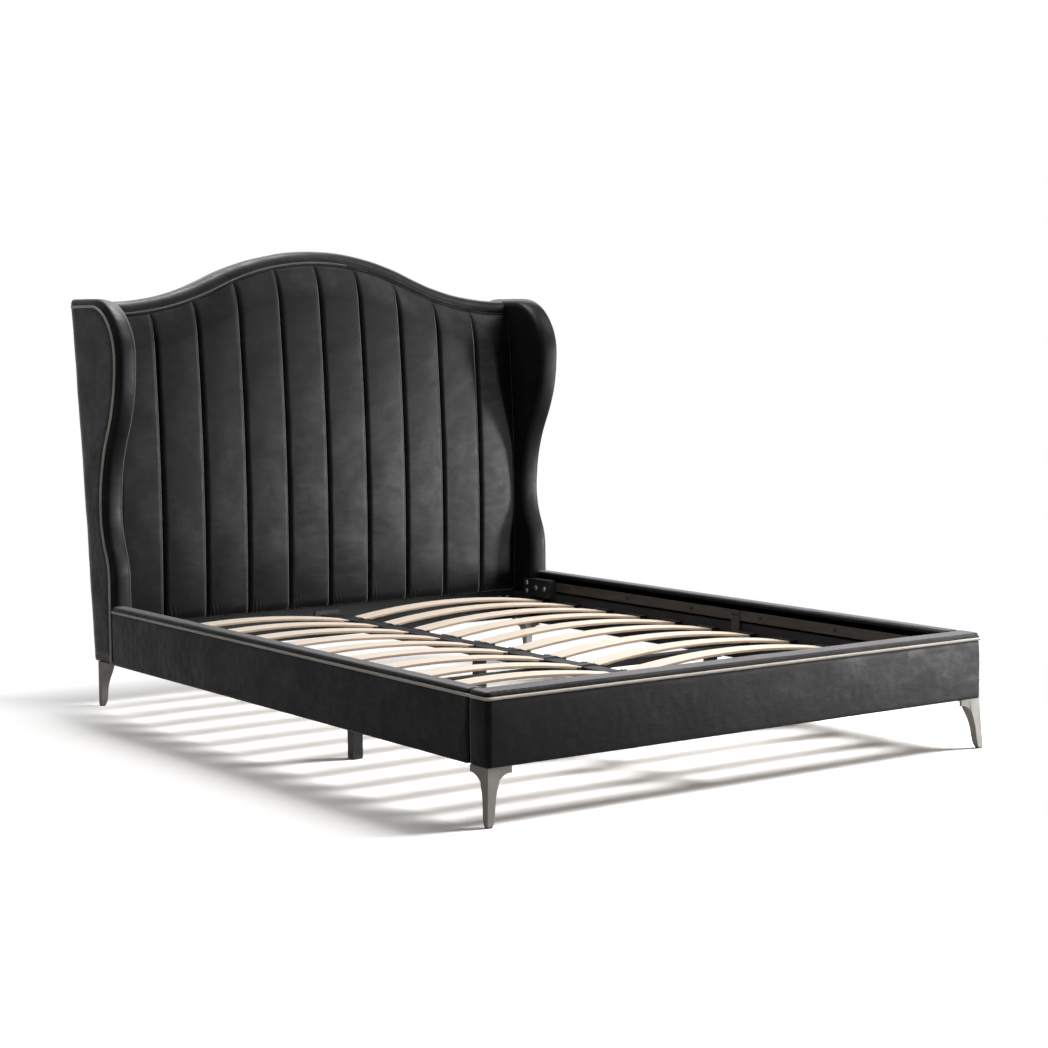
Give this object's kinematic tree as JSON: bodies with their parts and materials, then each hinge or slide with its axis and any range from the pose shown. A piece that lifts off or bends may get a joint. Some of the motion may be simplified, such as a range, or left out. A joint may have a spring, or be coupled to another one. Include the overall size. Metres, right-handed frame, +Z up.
{
  "type": "wingback bed",
  "caption": "Upholstered wingback bed frame with a channelled camelback headboard, padded rails, light piping, sprung slats and metal sabre legs.",
  "frame": {"origin": "on the floor, under the middle of the bed's overall length and width", "axes": "+X to the right of someone standing at the foot and facing the headboard, +Y from the foot to the headboard, +Z up"},
  "size_m": [1.638, 2.2718, 1.402],
  "materials": {
    "velvet": "cut velvet, charcoal, matt with a soft sheen",
    "back_cloth": "matt woven dust cloth",
    "foam": "open foam sheet",
    "softwood": "planed, unfinished",
    "plywood": "unfinished",
    "black_board": "covered in black cloth",
    "piping": "satin cord, warm beige",
    "strip_steel": "satin, bronze grey",
    "black_steel": "satin powder coat",
    "beech": "pale, lightly lacquered",
    "black_plastic": "matt",
    "leg_nickel": "satin nickel",
    "zinc": "bright zinc"
  },
  "bodies": {
    "root": {"beam_hanger_foot": "black_steel", "beam_hanger_head": "black_steel", "beam_screws": "zinc", "bed_bolts": "zinc", "bracket_packers": "black_board", "centre_beam": "black_steel", "centre_slat_holders": "black_plastic", "centre_support_leg": "black_steel", "channel_panel": "velvet", "cross_bar": "black_steel", "foot_rail_board": "plywood", "foot_rail_cover": "velvet", "foot_rail_inner_board": "black_board", "foot_rail_piping": "piping", "front_left_leg": "leg_nickel", "front_right_leg": "leg_nickel", "headboard_back_cover": "back_cloth", "headboard_board": "plywood", "headboard_border": "velvet", "headboard_centre_stile": "softwood", "headboard_cross_rails": "softwood", "headboard_foam": "foam", "headboard_lower_board": "black_board", "headboard_posts": "softwood", "headboard_top_rail": "softwood", "left_cross_bar_hanger": "strip_steel", "left_front_bracket": "black_steel", "left_rail_strip": "strip_steel", "left_rear_bracket": "black_steel", "left_side_rail_board": "black_board", "left_side_rail_cover": "velvet", "left_side_rail_piping": "piping", "left_slat_caps": "black_plastic", "left_slat_ledge": "black_steel", "left_slats": "beech", "left_wing_cover": "velvet", "left_wing_frame": "plywood", "left_wing_piping": "piping", "leg_glides": "black_plastic", "leg_screws": "zinc", "rail_screws": "black_steel", "rear_left_leg": "leg_nickel", "rear_right_leg": "leg_nickel", "right_cross_bar_hanger": "strip_steel", "right_front_bracket": "black_steel", "right_rail_strip": "strip_steel", "right_rear_bracket": "black_steel", "right_side_rail_board": "black_board", "right_side_rail_cover": "velvet", "right_side_rail_piping": "piping", "right_slat_caps": "black_plastic", "right_slat_ledge": "black_steel", "right_slats": "beech", "right_wing_cover": "velvet", "right_wing_frame": "plywood", "right_wing_piping": "piping", "side_support_legs": "black_steel", "support_leg_feet": "black_plastic", "wing_bolts": "zinc"}
  },
  "joints": []
}
